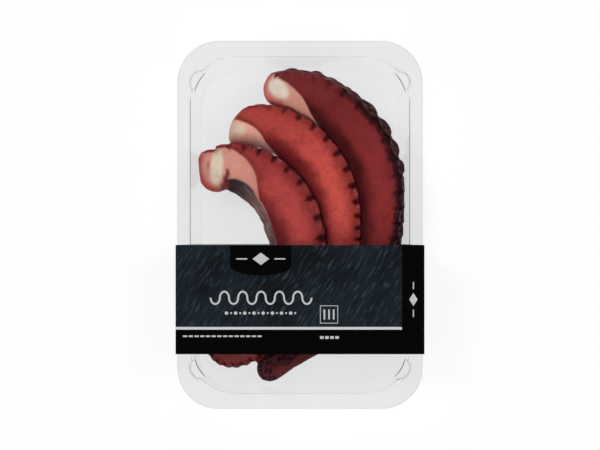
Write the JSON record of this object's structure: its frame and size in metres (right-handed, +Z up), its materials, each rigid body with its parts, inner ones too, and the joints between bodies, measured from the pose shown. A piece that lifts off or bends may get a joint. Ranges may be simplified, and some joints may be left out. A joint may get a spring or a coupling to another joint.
{
  "type": "sealed pack of cooked octopus arms",
  "caption": "Shut clear tray with a clear film lid, curved cooked octopus arms with suckers lying side by side inside, and a dark board sleeve round its lower half.",
  "frame": {"origin": "middle of the pack, on the surface that it stands on", "axes": "+Y along the tray towards the cut ends of the arms, away from the sleeve; +Z up out of the film lid; +X towards the suckered side of the outermost arm"},
  "size_m": [0.137, 0.2032, 0.0358],
  "materials": {
    "clear_tray": "gloss",
    "clear_film": "gloss",
    "printed_board": "satin",
    "octopus": "satin"
  },
  "bodies": {
    "root": {"tray": "clear_tray", "film": "clear_film", "sleeve": "printed_board", "arm_inner": "octopus", "arm_middle": "octopus", "arm_outer": "octopus"}
  },
  "joints": []
}
